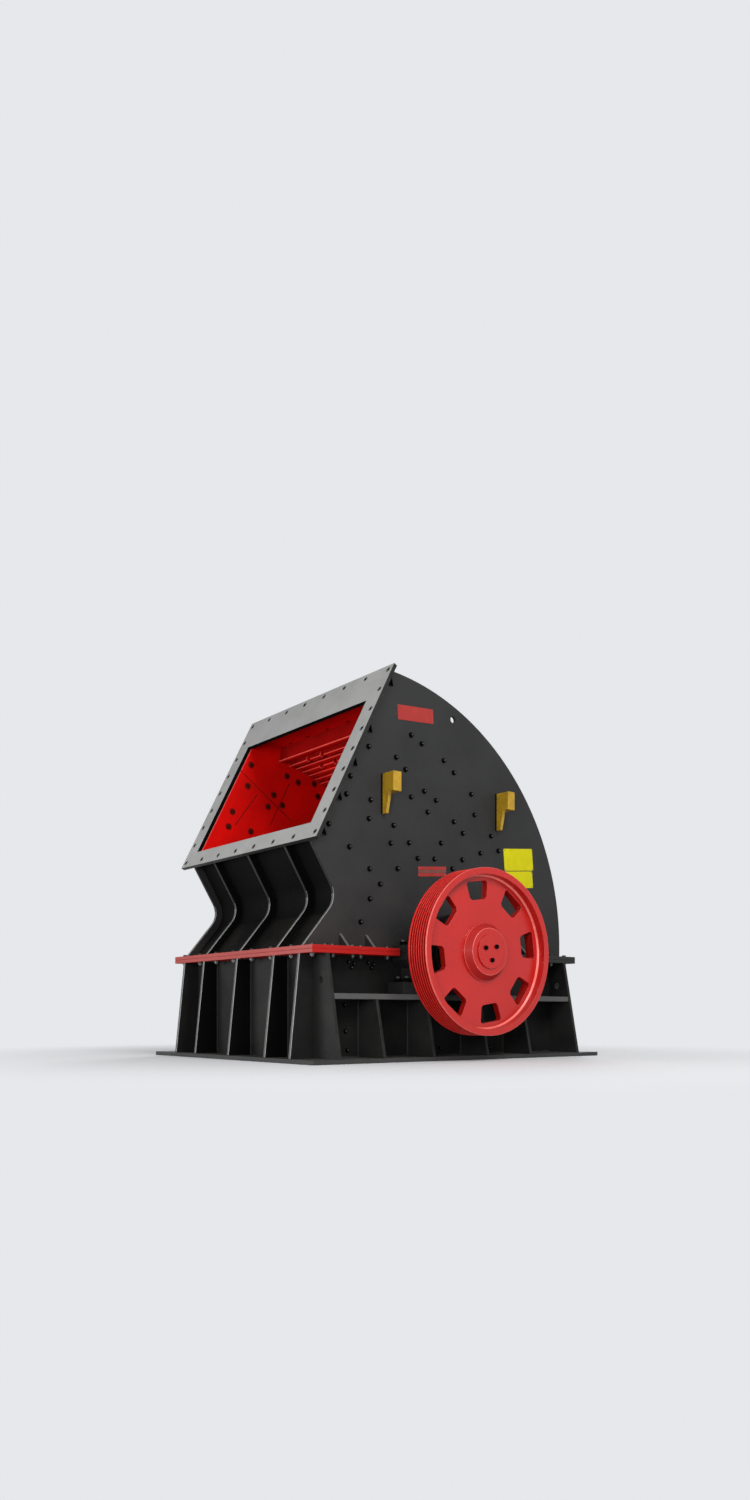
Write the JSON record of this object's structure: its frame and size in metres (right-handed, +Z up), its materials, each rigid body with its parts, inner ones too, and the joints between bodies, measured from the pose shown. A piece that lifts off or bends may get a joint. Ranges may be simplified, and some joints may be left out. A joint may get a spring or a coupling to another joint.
{
  "type": "hammer crusher",
  "caption": "Welded plate hammer crusher with a slanted feed flange, a curved back and one belt-driven rotor of swinging-type hammers on pins over a grate.",
  "frame": {"origin": "centre of the underside of the base frame", "axes": "+X towards the drive sheave, -Y towards the feed opening, +Z up"},
  "size_m": [2.682, 2.88, 2.9218],
  "materials": {
    "dark_paint": "satin dark grey machine enamel",
    "black_paint": "satin black machine enamel",
    "shelf_paint": "satin grey machine enamel",
    "flange_paint": "satin light grey primer",
    "red_paint": "satin red machine enamel",
    "liner_paint": "red primer on wear liners",
    "yellow_paint": "satin yellow enamel",
    "bare_steel": "turned steel",
    "cast_steel": "as-cast manganese steel"
  },
  "bodies": {
    "housing": {"base_frame": "shelf_paint", "lower_side_wall_right": "dark_paint", "lower_side_wall_left": "dark_paint", "lower_front_wall": "dark_paint", "lower_rear_wall": "dark_paint", "lower_front_ribs": "black_paint", "lower_rear_ribs": "black_paint", "corner_plates": "dark_paint", "side_shelves": "shelf_paint", "shelf_stiffeners": "black_paint", "lower_front_flange": "red_paint", "lower_rear_flange": "dark_paint", "upper_front_flange": "red_paint", "upper_rear_flange": "dark_paint", "upper_side_wall_right": "dark_paint", "upper_side_wall_left": "dark_paint", "upper_front_wall": "black_paint", "upper_front_ribs": "black_paint", "back_shell": "dark_paint", "back_ribs": "black_paint", "feed_flange": "flange_paint", "feed_gussets": "dark_paint", "joint_gussets": "dark_paint", "side_liner_right": "liner_paint", "side_liner_left": "liner_paint", "front_liner": "liner_paint", "roof_liner": "liner_paint", "impact_frame": "liner_paint", "impact_bars": "liner_paint", "grate_rails": "cast_steel", "grate_bars": "cast_steel", "lifting_hooks": "yellow_paint", "bearing_blocks": "black_paint", "bearing_caps": "black_paint", "bearing_covers": "black_paint", "shaft_seals": "black_paint"},
    "rotor": {"rotor_shaft": "bare_steel", "rotor_discs": "cast_steel", "rotor_spacers": "cast_steel", "hammer_pins": "bare_steel", "hammers": "cast_steel", "sheave": "red_paint", "shaft_end_plate": "red_paint"}
  },
  "joints": [
    {"name": "rotor_spin", "type": "hinge", "parent": "housing", "child": "rotor", "pos_m": [0, -0.08, 0.8], "axis": [1, 0, 0], "continuous": true}
  ]
}
